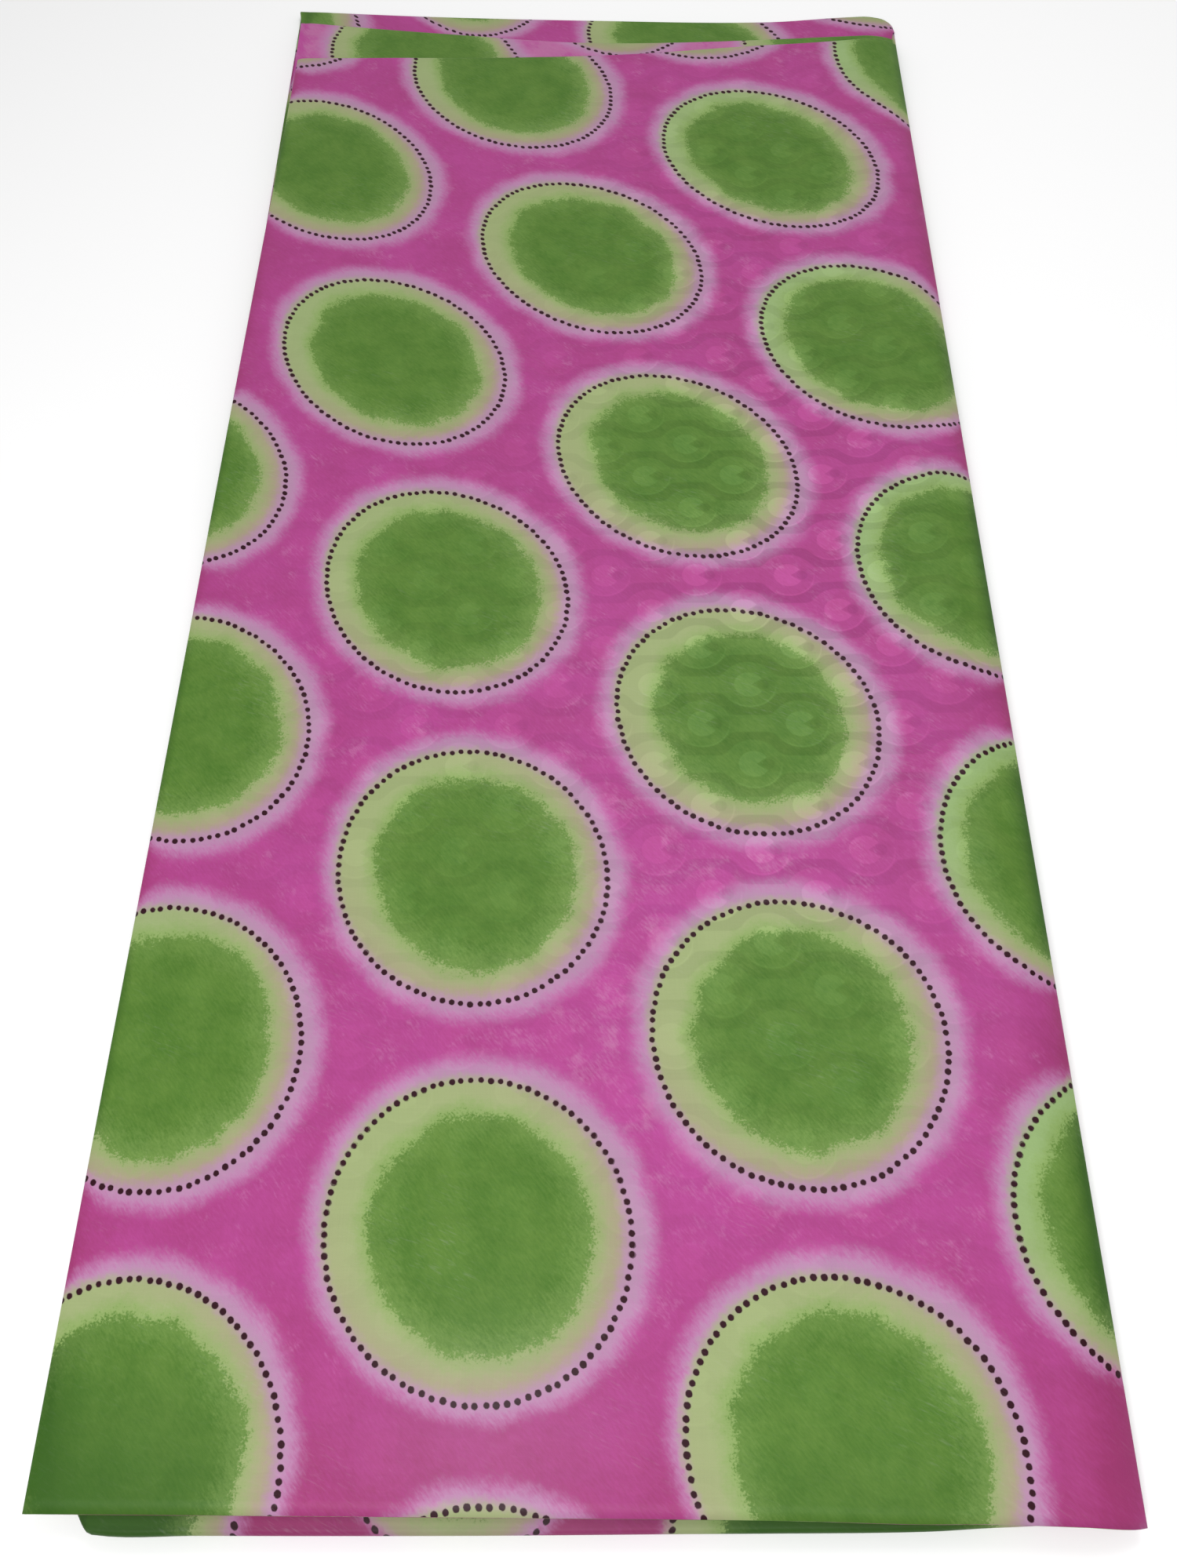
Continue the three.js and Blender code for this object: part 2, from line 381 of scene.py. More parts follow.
# %% The path of the cloth across a run
OUTER_FOLD = MARGIN_WALL / 2.0 - PLY / 2.0
INNER_FOLD = (RUN_WALL / 2.0 - PLY / 2.0) / 3.0
INNER_FOLD_INSET = 17.0
UNDER_SELVEDGE_INSET = 0.4
INNER_SELVEDGE_INSET = 5.5
FOLD_STEPS = 7
FINE_MARGIN_COLUMNS = 9
PLAIN_MARGIN_COLUMNS = 5
EDGE_SHARES = (0.002, 0.0045, 0.0075, 0.011, 0.016, 0.983, 0.989, 0.9935, 0.9965, 0.9985)


def ply_shares(body_columns, margin_columns):
    """Shares of the way across, from 0 to 1: even over the body, closer together in the margin,
    and five more close to each edge, where the stack rounds over."""
    margin_share = MARGIN_START / MARGIN_END
    body = np.linspace(0.0, margin_share, body_columns)
    margin = np.linspace(margin_share, 1.0, margin_columns + 1)[1:]
    return np.unique(np.concatenate([body, margin, EDGE_SHARES]))


def half_turn(steps):
    """Angles inside a half circle, without its two ends, which belong to the flat plies."""
    return np.linspace(0.0, math.pi, steps + 2)[1:-1]


def folded_section(fine_columns, plain_columns, fine_ply):
    """Share, shift and height of every point of the path. fine_ply is the ply that shows, and it
    gets the finer columns."""
    fold = half_turn(FOLD_STEPS)
    ones = np.ones(FOLD_STEPS)
    thirds = 1.0 / 3.0
    plain = ply_shares(plain_columns, PLAIN_MARGIN_COLUMNS)
    shares = {ply: plain for ply in ("under", "top", "third", "inner")}
    shares[fine_ply] = ply_shares(fine_columns, FINE_MARGIN_COLUMNS)
    under = shares["under"]
    top = shares["top"][::-1]
    third = shares["third"]
    inner = shares["inner"][::-1]
    left_centre = INNER_FOLD + PLY / 2.0
    right_centre = OUTER_FOLD + PLY / 2.0
    share = [under, ones, top, 0.0 * ones, third, ones, inner]
    shift = [
        UNDER_SELVEDGE_INSET * (1 - under) - right_centre * under,
        -right_centre + OUTER_FOLD * np.sin(fold),
        left_centre * (1 - top) - right_centre * top,
        left_centre - INNER_FOLD * np.sin(fold),
        left_centre * (1 - third) - INNER_FOLD_INSET * third,
        -INNER_FOLD_INSET + INNER_FOLD * np.sin(fold),
        INNER_SELVEDGE_INSET * (1 - inner) - INNER_FOLD_INSET * inner,
    ]
    height = [
        -np.ones(under.size),
        -np.cos(fold),
        np.ones(top.size),
        2 * thirds + thirds * np.cos(fold),
        thirds * np.ones(third.size),
        thirds * np.cos(fold),
        -thirds * np.ones(inner.size),
    ]
    return np.concatenate(share), np.concatenate(shift), np.concatenate(height)


# %% [markdown]
# ## Soft creases
#
# Folded cloth keeps a few shallow marks: a bulge where air is caught, a dent beside a fold, a wave
# along a free edge. They are listed one by one, each as a short line with its own width and height. A
# mark goes through the whole stack, fading towards the surface it lies on, so no two layers cross.

# %% Relief of the stack
STACK_HEIGHT = 13.5
LIFT_POWER = 1.5
# from (x, y) to (x, y), half width, height; all in millimetres
CREASES = [
    (96, -4, 118, 52, 7, -0.42), (132, 2, 141, 30, 5, 0.30), (236, -4, 262, 38, 9, -0.34),
    (300, 8, 336, 74, 12, 0.36), (352, -2, 371, 30, 6, 0.42), (24, 30, 66, 150, 22, 0.34),
    (180, 66, 214, 178, 26, 0.46), (262, 120, 300, 232, 20, -0.30), (70, 210, 58, 330, 24, -0.34),
    (330, 190, 346, 330, 14, 0.34), (150, 300, 196, 392, 22, 0.38), (20, 392, 84, 470, 18, 0.30),
    (270, 372, 290, 500, 24, -0.34), (348, 400, 352, 560, 10, -0.30), (120, 520, 206, 566, 16, -0.28),
    (40, 600, 52, 730, 20, 0.34), (226, 600, 320, 640, 18, 0.32), (150, 676, 176, 780, 16, 0.30),
    (306, 700, 352, 790, 14, -0.32), (60, 780, 150, 800, 9, 0.34), (214, 792, 300, 802, 8, 0.36),
]
BROAD_SWELL = 0.32
RIGHT_EDGE = 376.0
EDGE_DIP = 1.2
EDGE_REACH = 1.8


def crease(x, y, x0, y0, x1, y1, half_width, height):
    """A soft ridge or trough along a line: height times a bell curve of the distance from the
    line, which ends in a round fade because the distance is measured to the nearest point of it."""
    along_x, along_y = x1 - x0, y1 - y0
    share = ((x - x0) * along_x + (y - y0) * along_y) / (along_x**2 + along_y**2)
    share = np.clip(share, 0.0, 1.0)
    distance = np.hypot(x - x0 - share * along_x, y - y0 - share * along_y)
    return height * np.exp(-((distance / half_width) ** 2))


def relief(x, y):
    """Height of the soft unevenness over the strip: two broad swells of sine form, a dip that dies
    away from each long edge as exp(-distance / EDGE_REACH), and the creases."""
    swell = np.sin(x / 61.0 + y / 173.0) * np.sin(y / 89.0 + 0.7)
    swell = swell + 0.6 * np.sin(x / 37.0 - y / 118.0)
    from_left = np.maximum(x, 0.0)
    from_right = np.maximum(RIGHT_EDGE - x, 0.0)
    dip = np.exp(-from_left / EDGE_REACH) + np.exp(-from_right / EDGE_REACH)
    total = BROAD_SWELL * swell - EDGE_DIP * dip
    for line in CREASES:
        total = total + crease(x, y, *line)
    return total


def lift(x, y, z):
    """Adds the relief to z, in full at the top of the stack and not at all at the surface."""
    return z + relief(x, y) * np.clip(z / STACK_HEIGHT, 0.0, 1.0) ** LIFT_POWER


print("creases:", len(CREASES), "and relief at the middle, mm:", round(float(relief(188.0, 400.0)), 2))

# %% [markdown]
# ## From path to surface
#
# A run is the path carried along the strip. Along a straight stretch the path moves evenly from one
# end's line to the other. Round a turn every point goes through half a circle about the turn's
# centre, the outer plies on a larger circle than the inner ones, as in a real bundle of layers.

# %% Straight stretches and turns
def blend_edges(first, last, share):
    """The two long edges at a share of the way between two ends."""
    left = first["edges"][0] + (last["edges"][0] - first["edges"][0]) * share
    right = first["edges"][1] + (last["edges"][1] - first["edges"][1]) * share
    return left, right


def place_across(section, left, right):
    """x of each point of the path: left edge, plus its share of the width, plus its shift."""
    share, shift, _ = section
    return left + (right - left) * share + shift


def ply_offset(section, x):
    """How far a ply lies from the middle of its run: its height times half of the wall, less half
    of the ply's own thickness."""
    return section[2] * (wall_at(x) / 2.0 - PLY / 2.0)


def turn_centre(end, outward):
    """A function of x that gives the y of the turn's centre."""
    return lambda x: outline_at(end, x) - outward * turn_reach(x)


def straight(section, level, first, last, start, finish, face_up, shares):
    """One row of points for each share: y goes from start(x) to finish(x), and z is the middle of
    the run plus the ply's offset, turned over where face_up is -1."""
    rows = []
    for share in shares:
        x = place_across(section, *blend_edges(first, last, share))
        y = start(x) + (finish(x) - start(x)) * share
        z = middle_of(level, x) + face_up * ply_offset(section, x)
        rows.append(np.stack([x, y, z], axis=1))
    return rows


def turn(section, level, end, outward, face_up, steps):
    """Rows round a turn from a level down to the one below: y is the centre plus r sin(a), and z
    is the centre plus r cos(a), where r is the turn's radius plus the ply's offset."""
    x = place_across(section, *end["edges"])
    radius = turn_radius(x) + face_up * ply_offset(section, x)
    centre_y = turn_centre(end, outward)(x)
    centre_z = middle_of(level, x) - turn_radius(x)
    angles = half_turn(steps)
    return [
        np.stack([x, centre_y + outward * radius * np.sin(a), centre_z + radius * np.cos(a)], axis=1)
        for a in angles
    ]


def row_shares(count, bunching):
    """Shares along a stretch from 0 to 1. bunching draws them towards the two ends."""
    even = np.linspace(0.0, 1.0, count)
    eased = (1.0 - np.cos(math.pi * even)) / 2.0
    return even + (eased - even) * bunching


# %% [markdown]
# ## Two maps of the cloth
#
# The damask is woven in, so it follows the threads: its map is plain distance across and along the
# unfolded cloth. The colours were printed by hand on the damp cloth and lean with the pull of the
# table, so they get a map of their own. Both are in metres of cloth, with the folds opened out.

# %% The unfolded coordinate and the mesh of a run
def unfolded_across(points):
    """Distance across the opened cloth from the first selvedge, row by row: the running sum of the
    distances from each point of the path to the next."""
    steps = np.linalg.norm(np.diff(points, axis=1), axis=2)
    return np.concatenate([np.zeros((points.shape[0], 1)), np.cumsum(steps, axis=1)], axis=1)


def travelled(points, start_y, heading):
    """Distance along the cloth: the starting y, plus or minus the running sum of the distances
    from each row to the next, so that it equals y on the first straight stretch."""
    steps = np.linalg.norm(np.diff(points, axis=0), axis=2)
    total = np.concatenate([np.zeros((1, points.shape[1])), np.cumsum(steps, axis=0)], axis=0)
    return start_y + heading * total


def grid_faces(row_count, column_count):
    """Squares between neighbouring rows and columns of a grid of points."""
    index = np.arange(row_count * column_count).reshape(row_count, column_count)
    corners = [index[:-1, :-1], index[:-1, 1:], index[1:, 1:], index[1:, :-1]]
    return np.stack(corners, axis=-1).reshape(-1, 4)


def grid_object(name, points, maps, values):
    """A mesh object from a grid of points in strip millimetres. maps are UV maps in metres, and
    values are one number for each point, kept as named attributes."""
    rows, columns, _ = points.shape
    lifted = points.copy()
    lifted[..., 2] = lift(points[..., 0], points[..., 1], points[..., 2])
    mesh = bpy.data.meshes.new(name)
    faces = grid_faces(rows, columns)
    mesh.vertices.add(rows * columns)
    mesh.vertices.foreach_set("co", to_model(lifted).astype(np.float32).ravel())
    mesh.loops.add(faces.size)
    mesh.loops.foreach_set("vertex_index", faces.ravel().astype(np.int32))
    mesh.polygons.add(len(faces))
    mesh.polygons.foreach_set("loop_start", np.arange(0, faces.size, 4, dtype=np.int32))
    mesh.update(calc_edges=True)
    mesh.validate()
    mesh.polygons.foreach_set("use_smooth", np.ones(len(mesh.polygons), dtype=bool))
    for map_name, (u, v) in maps.items():
        flat = np.stack([u.ravel(), v.ravel()], axis=1) * MM
        layer = mesh.uv_layers.new(name=map_name)
        layer.data.foreach_set("uv", flat[faces.ravel()].astype(np.float32).ravel())
    for value_name, value in values.items():
        attribute = mesh.attributes.new(value_name, "FLOAT", "POINT")
        attribute.data.foreach_set("value", value.ravel().astype(np.float32))
    piece = bpy.data.objects.new(name, mesh)
    scene.collection.objects.link(piece)
    return piece


# %% [markdown]
# ## The print's place on each run
#
# The rings stand in a half-drop repeat: columns 129 mm apart, a ring every 147 mm in a column, and
# every other column half a step along. Pulling and ironing have leaned the columns and stretched
# the rows a little. For each run a function of across and along gives the place in an ideal,
# undistorted repeat, and the shader only has to draw that one.

# %% Functions that place the print
COLUMN_PITCH = 129.0
ROW_PITCH = 147.0
HALF_STRIP = 187.5
SECOND_RUN_PITCH = 132.5
THIRD_RUN_PITCH = 131.0
BOTTOM_RUN_PITCH = 134.0
FAR_STRETCH = 1.05
FAR_LEAN = 0.3


def bump(x, centre, half_width):
    """A bell curve of height 1."""
    return np.exp(-(((x - centre) / half_width) ** 2))


def threads_on_run(x, along):
    """The threads themselves: the warp sways by a few millimetres, and the weft bows up towards
    the right edge. Both are low powers of s, from -1 to 1 across, and of t, along."""
    s = np.clip((x - HALF_STRIP) / HALF_STRIP, -1.1, 1.1)
    t = np.clip((along - 300.0) / 150.0, -1.2, 1.5)
    right = np.clip((x - 290.0) / 60.0, 0.0, 1.4) ** 2
    u = x + 7.2 + s - 3.6 * s**2 + t - 2.6 * t**2 + 3.1 * t**3
    v = along + 0.8 + 0.7 * t - 5.6 * t * right
    return u, v


def print_on_top_run(x, along):
    """The columns are nearly straight at the near end and lean more and more beyond the middle,
    and the rows bow a little: low powers of s, from -1 to 1 across, and of t, 0 to 2 along. Right
    of x = 300 the print also slips back, most of all at two places along the edge."""
    s = np.clip((x - HALF_STRIP) / HALF_STRIP, -1.1, 1.1)
    t = along / 400.0
    lean = 44.6 * t - 73.0 * t**2 + 90.4 * t**3 - 23.0 * t**4
    spread = (4.7 - 0.6 * t - 1.4 * t**2) * s - 1.5 * s**2
    u = x - 285.3 + lean + spread
    bow = (0.6 * t - 1.7) * s - 3.3 * t * s**2
    v = along - 19.0 + 2.4 * t - 5.3 * t**2 - 1.8 * t**3 + bow
    slip = 2.6 * bump(along, 120.0, 190.0) + 6.5 * bump(along, 405.0, 95.0)
    slip = slip * np.clip((x - 300.0) / 75.0, 0.0, 1.0)
    return u + 0.25 * slip, v - slip


def print_on_second_run(x, along):
    """The run that shows as a lip at the near end, where its middle ring stands at x = 145.5."""
    u = (x - 145.5) * COLUMN_PITCH / SECOND_RUN_PITCH - COLUMN_PITCH
    v = along + 2.0 + 25.6 * bump(x, 148.0, 60.0)
    return u, v


def print_on_third_run(x, along):
    """The run that shows as a strip behind the top one, from y = 820 on."""
    beyond = along - 820.0
    u = (x - 79.3) * COLUMN_PITCH / THIRD_RUN_PITCH + FAR_LEAN * beyond - 2.0 * COLUMN_PITCH
    v = beyond / FAR_STRETCH + 19.0 * bump(x, 209.0, 60.0)
    return u, v


def print_on_bottom_run(x, along):
    """The run that shows at the very back. Its rows rise towards the left edge."""
    beyond = along - 830.0
    u = (x - 246.5) * COLUMN_PITCH / BOTTOM_RUN_PITCH + FAR_LEAN * beyond
    ramp = np.clip((100.0 - x) / 122.0, 0.0, 1.3)
    v = beyond / FAR_STRETCH - 36.0 * ramp * ramp * (3.0 - 2.0 * np.minimum(ramp, 1.0))
    return u + 3.5 * bump(x, 25.0, 35.0), v + 8.0 * bump(x, 108.0, 38.0)


# %% [markdown]
# ## The print as a shader
#
# Each motif is a green spot, brushed on so that its edge is dry and speckled, in a pale zone that
# is yellower on its upper left and pinker on its lower right. A ring of 94 small dark dots goes
# round it, and a lilac haze fades out into the pink ground. A real dyer dabs each one by hand, so
# the spots differ a little in size. The group takes the place in the ideal repeat in metres, finds
# the nearest motif, and works with the distance from its middle. Its second input holds the dye
# together with painted shade and painted sheen, and the pink and the green deepen where it is low.

# %% Sizes and colours of the print
DOT_RING = 58.0
DOTS = 94
DOT_RADIUS = 1.2
SPOT_RADIUS = 44.0
SPOT_SHIFT = (1.5, 0.8)
SPOT_SQUEEZE = (1.02, 0.98)
SPOT_SOFTNESS = 1.6
LAST_COLUMN = (60.0, 120.0)
LAST_COLUMN_GROWTH = 2.4
PALE_ZONE = (44.0, 57.0)
FRINGE_WIDTH = 8.0
THINNING_WIDTH = 14.0
HAZE_RADIUS = 65.8
HAZE_SHIFT = (0.6, 1.4)
HAZE_SOFTNESS = 4.5
NARROWED_BELOW = 0.58
DEEPER_BELOW = 0.40
FIBRE_ANGLE = math.radians(-52.0)
FIBRE_SIZES = (3.6, 0.9, 1.0)

CRIMSON = linear(148, 52, 103)
PINK = linear(175, 70, 143)
MILKY_PINK = linear(182, 112, 156)
HAZE_OUTER = linear(180, 122, 166)
HAZE_INNER = linear(170, 132, 160)
TAN = linear(160, 140, 124)
PALE_GREEN = linear(150, 164, 112)
MINT = linear(140, 170, 110)
FRINGE = linear(130, 158, 88)
GREEN_DEEP = linear(69, 109, 36)
GREEN = linear(94, 128, 53)
# the darkest green, where the dye value is low: deeper dye, and painted shade at the edges, folds and
# lip
DEEP_AND_SHADED_GREEN = linear(48, 86, 24)
DOT_COLOUR = linear(44, 9, 21)
print(f"{DOTS} dots stand {2.0 * math.pi * DOT_RING / DOTS:.1f} mm apart")

# %% [markdown]
# A shader can't count through the motifs, so it folds the whole plane onto one of them. Wrapping
# the coordinates gives the offset from the nearest point of a grid, the motifs stand on two such
# grids, and the nearer one counts. The woven figure later uses the same helper. Noise stands in for
# the hand and the brush.

# %% Printed rings: the nearest motif
def new_group(name, inputs, outputs):
    """An empty shader node group with named sockets, and the Graph to fill it with."""
    tree = bpy.data.node_groups.new(name, "ShaderNodeTree")
    for socket_name, kind, default in inputs:
        socket = tree.interface.new_socket(socket_name, in_out="INPUT", socket_type=kind)
        if default is not None:
            socket.default_value = default
    for socket_name, kind in outputs:
        tree.interface.new_socket(socket_name, in_out="OUTPUT", socket_type=kind)
    graph = Graph(tree)
    return tree, graph, graph.node("NodeGroupInput").outputs, graph.node("NodeGroupOutput").inputs


def half_drop(graph, u, v, period_u, period_v):
    """Offset from the nearest motif, and its length. The motifs stand on two grids with the same
    periods, the second one half a period further on both ways."""
    found = []
    for shift_u, shift_v in ((0.0, 0.0), (period_u / 2, period_v / 2)):
        near_u = graph.math("WRAP", graph.math("ADD", u, shift_u), period_u / 2, -period_u / 2)
        near_v = graph.math("WRAP", graph.math("ADD", v, shift_v), period_v / 2, -period_v / 2)
        found.append((near_u, near_v, graph.length(near_u, near_v)))
    even, odd = found
    even_is_nearer = graph.math("LESS_THAN", even[2], odd[2])
    offset_u = graph.between(even_is_nearer, odd[0], even[0])
    offset_v = graph.between(even_is_nearer, odd[1], even[1])
    return offset_u, offset_v, graph.math("MINIMUM", even[2], odd[2])


print_group, g, given, wanted = new_group(
    "Printed rings",
    [("Place", "NodeSocketVector", None), ("Dye_and_painted_light", "NodeSocketFloat", 0.5)],
    [("Color", "NodeSocketColor")],
)
# the second input holds the dye together with painted shade and painted sheen
dye_and_painted_light = given["Dye_and_painted_light"]
place = g.scaled(given["Place"], 1.0 / MM)
axes = g.split(place)
offset_u, offset_v, radius = half_drop(g, axes[0], axes[1], 2.0 * COLUMN_PITCH, ROW_PITCH)
middle_u = g.minus(axes[0], offset_u)
middle_v = g.minus(axes[1], offset_v)

# brush marks of three sizes: the hand's wobble, the bristles, and the grain of the dry brush; and
# the fibres of the nap, drawn out along one slanting direction
wobble = g.marks(place, 0.055, 1.0)
bristle = g.marks(place, 0.36, 3.0, 0.6)
grain = g.marks(place, 1.1, 2.0, 0.65)
fibre = g.marks(g.stretched(place, FIBRE_ANGLE, FIBRE_SIZES), 1.0, 3.0, 0.6)

# %% [markdown]
# The spot is dabbed on with a dry brush, a little to the right of the ring's middle and beyond it. A
# plain circle would look stamped, so the brush marks are added to the distance before its edge is
# drawn. Its size goes up and down by 1 mm from ring to ring, and the last column's spots are larger
# and further left.

# %% Printed rings: the green spot
last_column = g.soft_step(middle_u, *LAST_COLUMN)
spot_u = g.plus(g.minus(offset_u, SPOT_SHIFT[0]), last_column, LAST_COLUMN_GROWTH)
spot_u = g.times(spot_u, SPOT_SQUEEZE[0])
spot_v = g.times(g.minus(offset_v, SPOT_SHIFT[1]), SPOT_SQUEEZE[1])
own_wave = g.plus(g.plus(0.566, middle_u, -0.008), middle_v, 0.036)
growth = g.plus(g.math("SINE", own_wave), last_column, LAST_COLUMN_GROWTH)
spot_distance = g.minus(g.length(spot_u, spot_v), growth)
hand_edge = g.plus(spot_distance, wobble, 8.0)
spot_edge = g.plus(g.plus(hand_edge, bristle, 8.0), grain, 11.0)
spot = g.rest(g.soft_step(spot_edge, SPOT_RADIUS - SPOT_SOFTNESS, SPOT_RADIUS + SPOT_SOFTNESS))
patches = g.soft_step(g.noise(place, 0.06, 5.0, 0.66), 0.30, 0.70)
green_share = g.plus(g.between(0.45, patches, 0.5), fibre, 1.2)
green = g.blend(green_share, GREEN_DEEP, GREEN)
# the green darkens where the dye value is low: deeper dye, and painted shade at the edges, folds and
# lip
shade_and_depth = g.math("MINIMUM", g.times(g.minus(DEEPER_BELOW, dye_and_painted_light), 2.2), 0.95)
green = g.blend(shade_and_depth, green, DEEP_AND_SHADED_GREEN)

# towards the upper left, where side is 1, the colours are yellower, and pinker opposite, where it
# is 0; the green thins out towards its edge, mostly on the pinker side
towards_upper_left = g.plus(g.times(offset_v, 0.73), offset_u, -0.68)
side = g.plus(0.48, g.math("DIVIDE", towards_upper_left, radius), 0.5)
thinning_edge = g.plus(spot_edge, fibre, 14.0)
thinning = g.soft_step(thinning_edge, SPOT_RADIUS - THINNING_WIDTH, SPOT_RADIUS + 1.0)
green = g.blend(g.times(thinning, g.plus(0.40, side, -0.22)), green, FRINGE)

# %% [markdown]
# Between spot and dots the cloth stayed pale, and only weak dye crept in from both sides. It is
# mintier round the larger spots, and a fringe of green lies outside the spot's edge.

# %% Printed rings: the pale zone
outward = g.soft_step(g.plus(radius, bristle, 6.0), *PALE_ZONE)
pinkness = g.times(g.rest(side), g.plus(0.25, outward, 0.75))
pale_zone = g.blend(pinkness, PALE_GREEN, TAN)
mint = g.times(g.soft_step(growth, 0.4, 2.0), g.soft_step(side, 0.35, 0.95))
pale_zone = g.blend(g.times(mint, 0.8), pale_zone, MINT)
fringe_edge = g.plus(g.plus(hand_edge, grain, 4.0), bristle, 6.0)
fringe = g.rest(g.soft_step(fringe_edge, SPOT_RADIUS, SPOT_RADIUS + FRINGE_WIDTH))
pale_zone = g.blend(g.times(fringe, g.plus(0.42, side, 0.5)), pale_zone, FRINGE)

# %% [markdown]
# A lilac haze lies round the dots, a little beyond the ring's middle and narrower where the dye is
# deep. The pink ground outside it is clouded by broad noise and by the fibres, with milky patches
# where the dye took badly. The parts then go one over the other: ground, haze, pale zone, spot.

# %% Printed rings: haze and ground
haze_distance = g.length(g.minus(offset_u, HAZE_SHIFT[0]), g.minus(offset_v, HAZE_SHIFT[1]))
narrowing = g.times(g.math("MAXIMUM", g.minus(NARROWED_BELOW, dye_and_painted_light), 0.0), 9.0)
haze_edge = g.plus(g.math("ADD", haze_distance, narrowing), wobble, 6.0)
haze_edge = g.plus(g.plus(haze_edge, bristle, 4.0), fibre, 7.0)
beyond_haze = g.soft_step(haze_edge, HAZE_RADIUS - HAZE_SOFTNESS, HAZE_RADIUS + HAZE_SOFTNESS)
outer_share = g.soft_step(haze_edge, DOT_RING - 1.0, DOT_RING + 9.0)
haze_colour = g.blend(outer_share, HAZE_INNER, HAZE_OUTER)

clouds = g.soft_step(g.noise(place, 0.028, 4.0, 0.62), 0.25, 0.75)
# the ground turns crimson where the dye value is low, which includes painted shade, and pinker and
# milkier where it is high, which includes painted sheen
ground_share = g.plus(g.plus(g.minus(dye_and_painted_light, 0.17), clouds, 0.35), fibre, 0.7)
ground = g.blend(ground_share, CRIMSON, PINK)
milky = g.plus(g.noise(place, 0.07, 4.0, 0.7), fibre, 0.5)
milk = g.soft_step(g.plus(milky, dye_and_painted_light, 0.42), 0.79, 1.15)
ground = g.blend(g.times(milk, 0.8), ground, MILKY_PINK)

haze = g.blend(beyond_haze, haze_colour, ground)
lilac_edge = g.plus(g.plus(radius, bristle, 5.0), side, -5.6)
beyond_dots = g.soft_step(lilac_edge, DOT_RING - 7.0, DOT_RING - 0.5)
colour = g.blend(spot, g.blend(beyond_dots, pale_zone, haze), green)

# %% [markdown]
# The dots are printed last. The angle round the ring gives each one a number, and with that its own
# small errors of place and size, because no hand sets 94 dots evenly.

# %% Printed rings: the dots
step_angle = 2.0 * math.pi / DOTS
turns = g.math("DIVIDE", g.math("ARCTAN2", offset_v, offset_u), step_angle)
number = g.math("ROUND", turns)
own_number = g.math("FLOORED_MODULO", number, float(DOTS))
label = g.join(own_number, g.math("ROUND", middle_u), g.math("ROUND", middle_v))
error = g.split(g.node("ShaderNodeTexWhiteNoise", {0: label}).outputs["Color"])
round_ring = g.plus(g.minus(turns, number), g.minus(error[0], 0.5), -0.16)
round_ring = g.times(round_ring, DOT_RING * step_angle)
across_ring = g.minus(radius, g.plus(DOT_RING - 0.27, error[1], 0.55))
dot_distance = g.plus(g.length(round_ring, across_ring), grain, 0.5)
dot_size = g.plus(DOT_RADIUS - 0.12, error[2], 0.24)
dot = g.rest(g.soft_step(g.minus(dot_distance, dot_size), -0.18, 0.22))
g.feed(wanted["Color"], g.blend(dot, colour, DOT_COLOUR))
print("printed rings group:", len(print_group.nodes), "nodes")

# %% [markdown]
# ## The woven pattern
#
# Damask shows its figure by turning the weave: warp threads float on top in one area and weft in
# the other, and they catch the light differently. The figure here is a chain of roundels joined by
# bars, row above row, each row half a step across, with a plain wavy band left between two rows. A
# disc with an open wedge sits in each roundel. The group gives one value, low in the wavy bands and
# high in the discs, which then moves roughness and relief a little, and the colour's brightness as
# painted sheen.

# %% Group: damask figure
FIGURE_ACROSS = 43.0
FIGURE_ALONG = 42.0
FIGURE_START = (246.3, 145.6)
ROUNDEL = 12.5
BAR = 4.5
DISC = (6.3, 6.9)
EYE_U = 6.3
EYE = (2.2, 2.9)
RIM = (11.2, 11.8)

damask_group, g, given, wanted = new_group(
    "Damask figure",
    [("Place", "NodeSocketVector", None)],
    [("Figure", "NodeSocketFloat")],
)
axes = g.split(g.scaled(given["Place"], 1.0 / MM))
v_place = g.minus(axes[1], FIGURE_START[1])
u, v, r = half_drop(g, g.minus(axes[0], FIGURE_START[0]), v_place, FIGURE_ACROSS, FIGURE_ALONG)
row_offset = g.math("ABSOLUTE", g.math("WRAP", v_place, FIGURE_ALONG / 4, -FIGURE_ALONG / 4))
outside_chain = g.math("SMOOTH_MIN", g.minus(r, ROUNDEL), g.minus(row_offset, BAR), 5.0)
wavy_band = g.soft_step(outside_chain, -0.5, 0.4)
in_roundel = g.rest(g.soft_step(r, ROUNDEL - 0.6, ROUNDEL + 0.1))
level = g.math("ABSOLUTE", v)

# the disc, and the wedge and the eye that are cut out of its right side
wedge_half_height = g.times(g.minus(u, 1.2), 0.75)
wedge = g.soft_step(g.minus(wedge_half_height, level), -0.3, 0.3)
disc = g.times(g.rest(g.soft_step(r, *DISC)), g.rest(wedge))
eye = g.rest(g.soft_step(g.length(g.minus(u, EYE_U), v), *EYE))

# a thin bright line along the lower right of the rim, and a duller mouth that opens to the right
lower_right = g.soft_step(g.minus(g.times(u, 0.5), v), 3.5, 8.0)
rim = g.times(g.times(g.soft_step(r, *RIM), in_roundel), lower_right)
mouth = g.times(g.soft_step(u, 5.0, 7.5), g.rest(g.soft_step(u, 9.0, 20.0)))
mouth = g.times(mouth, g.rest(g.soft_step(level, BAR - 1.5, BAR)))

figure = 0.5
for part, strength in ((wavy_band, -0.45), (disc, 0.5), (rim, 0.3), (mouth, -0.2), (eye, -0.3)):
    figure = g.plus(figure, part, strength)
g.feed(wanted["Figure"], figure)
print(f"woven figure: a repeat every {FIGURE_ACROSS:.0f} by {FIGURE_ALONG:.0f} mm")

